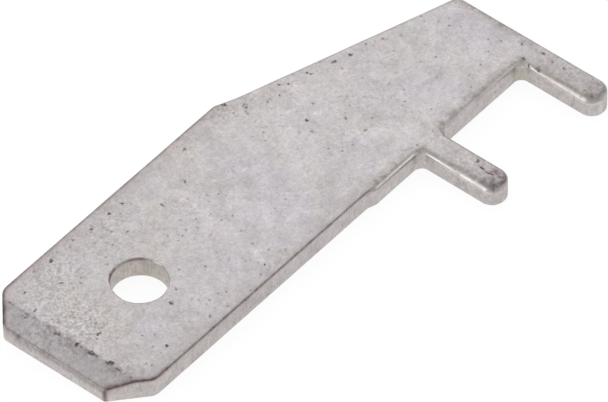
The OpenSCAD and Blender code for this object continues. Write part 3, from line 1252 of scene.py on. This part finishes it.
@dataclass(frozen=True)
class TinPlate:
    """Matt tin plate on brass: mottled, finely scratched, darker in its pits and warmer on the cut walls,
    with painted highlights and painted shade about its rolled edges.
    """

    warm: Colour = (0.559, 0.507, 0.495, 1.0)
    cool: Colour = (0.536, 0.500, 0.530, 1.0)
    cut_wall: Colour = (0.542, 0.496, 0.490, 1.0)
    green: Colour = (0.527, 0.503, 0.482, 1.0)
    tinge: Colour = (0.976, 1.0, 0.990, 1.0)
    olive: Colour = (0.92, 0.91, 0.82, 1.0)
    # Colour of burnished metal, which also serves as the painted highlight and glint on the rolls
    bright: Colour = (0.66, 0.62, 0.59, 1.0)
    # Brown of the staining, which also serves as painted shade on the pins and the seat's roll
    stain_and_shade: Colour = (0.17, 0.125, 0.12, 1.0)
    dirt: Colour = (0.11, 0.088, 0.085, 1.0)
    greening: Clouds = Clouds(1.3, 4.0, 0.65, 0.35, 0.65, 0.0, 0.9)
    tingeing: Clouds = Clouds(2.0, 3.0, 0.6, 0.35, 0.65, 0.0, 1.0, warp=0.5)
    stain_and_shade_mottle: Clouds = Clouds(4.0, 4.0, 0.65, 0.3, 0.7, 0.75, 1.25)
    placed_cool: float = 0.34
    cool_clouds: Clouds = Clouds(0.55, 3.0, 0.6, 0.35, 0.65, 0.25, 0.75)
    cool_spots: Clouds = Clouds(3.0, 2.0, 0.6, 0.3, 0.7, -0.18, 0.18)
    broad_mottle: Clouds = Clouds(0.45, 3.0, 0.6, 0.3, 0.7, 0.965, 1.035)
    grains: tuple[tuple[float, float], ...] = (
        (1.4, 0.045), (3.2, 0.06), (7.0, 0.055), (14.0, 0.04), (26.0, 0.015),
    )
    grit: Clouds = Clouds(9.0, 3.0, 0.7, 0.35, 0.65, -0.17, 0.12)
    hairlines: tuple[tuple[float, float], ...] = (
        (8.0, 0.08), (-35.0, -0.08), (62.0, 0.08), (100.0, -0.08), (-70.0, 0.07), (35.0, -0.07),
    )
    hairline_stretch: tuple[float, ...] = (1.6, 8.0, 1.0)
    ragged_rims: Clouds = Clouds(11.0, 3.0, 0.65, 0.3, 0.7, -0.5, 0.4)
    specks: float = 3.2
    specked: Clouds = Clouds(0.8, 2.0, 0.5, 0.42, 0.62, 0.15, 1.0)
    blots: Clouds = Clouds(5.0, 3.0, 0.6, 0.58, 0.76, 0.0, 0.32, warp=0.8)
    gloss_clouds: Clouds = Clouds(1.6, 3.0, 0.5, 0.3, 0.7, -0.04, 0.04)
    roughness: float = 0.45
    burnished_roughness: float = 0.28

    def material(self) -> bpy.types.Material:
        """Makes the finish."""
        made = bpy.data.materials.new("matt_tin_plate")
        made.use_nodes = True
        bench = Bench(made.node_tree)
        at = bench.millimetres()
        soil = self.soil(bench, at)
        burnish_and_highlight = bench.attribute(Layer.BURNISH_AND_HIGHLIGHT)
        polish = bench.times(burnish_and_highlight, self.burnished_roughness - self.roughness)
        matt = bench.plus(bench.clouds(at, self.gloss_clouds), self.roughness)
        bump = {"Height": self.relief(bench, at), "Strength": 0.25, "Distance": 0.00001}
        looks = {
            "Metallic": 1.0,
            "Base Color": bench.mixed(soil, self.plating(bench, at, burnish_and_highlight), self.dirt),
            "Roughness": bench.plus(polish, matt, bench.times(soil, 0.3)),
            "Normal": bench.add("Bump", bump).outputs["Normal"],
        }
        for name, value in looks.items():
            bench.feed(made.node_tree.nodes["Principled BSDF"].inputs[name], value)
        return made

    def plating(self, bench: Bench, at: Socket, burnish_and_highlight: Socket) -> Socket:
        """The colour of the plating with its stains, painted shade and painted highlights, but without dirt.

        Args:
            bench: the node tree.
            at: the place in millimetres.
            burnish_and_highlight: how far it is burnished, and how much painted highlight it carries.

        Returns:
            The colour.
        """
        warm = bench.mixed(bench.clouds(at, self.greening), self.warm, self.green)
        face = bench.mixed(self.coolness(bench, at), warm, self.cool)
        plate = bench.mixed(bench.attribute(Layer.CUT), face, self.cut_wall)
        plate = bench.mixed(bench.clouds(at, self.tingeing), plate, bench.tinted(plate, self.tinge))
        plate = bench.tinted(plate, self.lightness(bench, at))
        plate = bench.mixed(bench.attribute(Layer.TARNISH), plate, bench.tinted(plate, self.olive))
        # Burnished metal is lighter; on the rolls this lightening is also a painted highlight.
        plate = bench.mixed(burnish_and_highlight, plate, self.bright)
        # Staining and painted shade, mottled.
        stained_and_shaded = bench.times(bench.attribute(Layer.STAIN_AND_SHADE), bench.clouds(at, self.stain_and_shade_mottle))
        return bench.mixed(stained_and_shaded, plate, self.stain_and_shade)

    def coolness(self, bench: Bench, at: Socket) -> Socket:
        """Share of the cooler plating: the placed patches and smaller ones between them."""
        placed = bench.times(bench.attribute(Layer.COOL), self.placed_cool)
        return bench.plus(placed, bench.clouds(at, self.cool_clouds), bench.clouds(at, self.cool_spots))

    def lightness(self, bench: Bench, at: Socket) -> Socket:
        """How light the plating is: mottles, grain, grit and hairlines, less the placed shade."""
        total = bench.clouds(at, self.broad_mottle)
        for scale, swing in self.grains:
            grain = Clouds(scale, 2.0, 0.6, 0.3, 0.7, 1 - swing, 1 + swing)
            total = bench.times(total, bench.clouds(at, grain))
        grit = bench.times(bench.clouds(at, self.grit), bench.attribute(Layer.GRIT))
        total = bench.plus(total, grit)
        for turn, swing in self.hairlines:
            along = bench.millimetres(turn, self.hairline_stretch)
            total = bench.plus(total, bench.clouds(along, Clouds(1.0, 1.0, 0.5, 0.60, 0.72, 0.0, swing, 1.6)))
        return bench.chain("SUBTRACT", total, bench.attribute(Layer.SHADE))

    def soil(self, bench: Bench, at: Socket) -> Socket:
        """Dirt: the placed pits and edge lines, and fine specks and blots strewn between them."""
        placed = bench.attribute(Layer.SOIL)
        near_placed = bench.spread(placed, 0.0, 0.3, 0.0, 1.0)
        ragged = bench.times(bench.clouds(at, self.ragged_rims), near_placed)
        placed = bench.spread(bench.plus(placed, ragged), 0.05, 1.0, 0.0, 0.85)
        cells = bench.add("TexVoronoi", {"Vector": at, "Scale": self.specks}).outputs["Distance"]
        specks = bench.times(bench.spread(cells, 0.03, 0.22, 0.5, 0.0), bench.clouds(at, self.specked))
        gritty = bench.spread(bench.attribute(Layer.GRIT), 0.0, 0.6, 0.45, 1.0)
        blots = bench.times(bench.clouds(at, self.blots), gritty)
        return bench.chain("MAXIMUM", placed, specks, blots)

    def relief(self, bench: Bench, at: Socket) -> Socket:
        """Height of the fine grain."""
        return bench.plus(bench.noise(at, 9.0, 4.0, 0.65), bench.times(bench.noise(at, 2.5, 3.0, 0.5), 2.0))


@dataclass(frozen=True)
class Softbox:
    """One square soft light. Lengths are in metres, and its face is white where its radiance is 1."""

    name: str
    towards: tuple[float, float, float]
    size: float
    radiance: float
    distance: float = 0.4

    def hang(self) -> None:
        """Hangs it so that it faces the part."""
        data = bpy.data.lights.new(self.name, "AREA")
        data.shape = "SQUARE"
        data.size = self.size
        data.energy = self.radiance * math.pi * self.size * self.size
        lamp = bpy.data.objects.new(self.name, data)
        way = Vector(self.towards).normalized()
        lamp.location = way * self.distance
        lamp.rotation_euler = way.to_track_quat("Z", "Y").to_euler()
        bpy.context.scene.collection.objects.link(lamp)


@dataclass(frozen=True)
class Studio:
    """The pale floor, the soft lights, the world and the camera. Lengths are in metres."""

    eye: tuple[float, float, float] = (-0.182293, -0.164259, 0.266402)
    right: tuple[float, float, float] = (0.64237, -0.76628, -0.01325)
    down: tuple[float, float, float] = (-0.5653, -0.46208, -0.68331)
    forward: tuple[float, float, float] = (0.51749, 0.44643, -0.73001)
    focal_pixels: float = 11316.1
    picture_width: float = 608.0
    film_width: float = 36.0
    floor_size: float = 0.6
    floor_x: float = 0.006
    floor_gap: float = 0.00001
    floor_glow: float = 1.06
    glow_share: float = 0.85
    world_strength: float = 0.64
    seen_strength: float = 1.0
    softboxes: tuple[Softbox, ...] = (
        Softbox("overhead", (0.5, 0.40, 0.75), 0.4, 0.66),
        Softbox("right", (0.517, -0.735, 0.42), 0.12, 1.1),
        Softbox("left", (-0.86, 0.446, 0.26), 0.31, 1.3),
    )

    def build(self) -> None:
        """Sets up the camera, the floor and the light."""
        bpy.context.scene.view_settings.view_transform = "Standard"
        self.place_camera()
        self.lay_floor()
        self.light()

    def place_camera(self) -> None:
        """Puts the camera where the picture was taken from."""
        data = bpy.data.cameras.new("camera")
        data.sensor_width = self.film_width
        data.lens = self.film_width * self.focal_pixels / self.picture_width
        data.clip_start = 0.01
        data.clip_end = 10.0
        camera = bpy.data.objects.new("camera", data)
        right, down, forward = (Vector(way).normalized() for way in (self.right, self.down, self.forward))
        turned = Matrix((right, -down, -forward)).transposed().to_4x4()
        camera.matrix_world = Matrix.Translation(self.eye) @ turned
        bpy.context.scene.collection.objects.link(camera)
        bpy.context.scene.camera = camera

    def lay_floor(self) -> None:
        """Lays the pale floor, which is white to the eye and in reflections, and keeps the part's shadow."""
        bm = bmesh.new()
        bmesh.ops.create_grid(bm, x_segments=1, y_segments=1, size=self.floor_size)
        height = CAD_BOX[0][2] - self.floor_gap
        bmesh.ops.translate(bm, vec=(self.floor_x, 0.0, height), verts=bm.verts[:])
        floor = finished_object(bm, "floor")
        made = bpy.data.materials.new("pale_floor")
        made.use_nodes = True
        bench = Bench(made.node_tree)
        shader = made.node_tree.nodes["Principled BSDF"]
        shader.inputs["Base Color"].default_value = (0.9, 0.9, 0.9, 1.0)
        shader.inputs["Roughness"].default_value = 0.9
        glow = bench.add("Emission", {"Strength": self.floor_glow})
        path = bench.add("LightPath").outputs
        seen = bench.chain("MAXIMUM", path["Is Camera Ray"], path["Is Glossy Ray"])
        shaders = {0: bench.times(seen, self.glow_share), 1: shader.outputs[0], 2: glow.outputs[0]}
        mix = bench.add("MixShader", shaders)
        bench.feed(made.node_tree.nodes["Material Output"].inputs["Surface"], mix.outputs[0])
        floor.data.materials.append(made)

    def light(self) -> None:
        """Sets the world, which looks white to the camera, and hangs the soft lights."""
        world = bpy.data.worlds.new("studio")
        world.use_nodes = True
        bpy.context.scene.world = world
        bench = Bench(world.node_tree)
        seen = bench.add("LightPath").outputs["Is Camera Ray"]
        strengths = {"Value": seen, "To Min": self.world_strength, "To Max": self.seen_strength}
        background = world.node_tree.nodes["Background"]
        background.inputs["Color"].default_value = (1.0, 1.0, 1.0, 1.0)
        bench.feed(background.inputs["Strength"], bench.add("MapRange", strengths).outputs["Result"])
        for softbox in self.softboxes:
            softbox.hang()


def main() -> None:
    """Builds the terminal and the studio."""
    logging.basicConfig(level=logging.INFO)
    noise.seed_set(NOISE_SEED)
    Studio().build()
    sheet = TabTerminal().build()
    sheet.data.materials.append(TinPlate().material())
    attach(sheet, "root")
    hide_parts("tab_terminal")
    LOG.info("%s: %d faces", sheet.name, len(sheet.data.polygons))


if __name__ == "__main__":
    main()
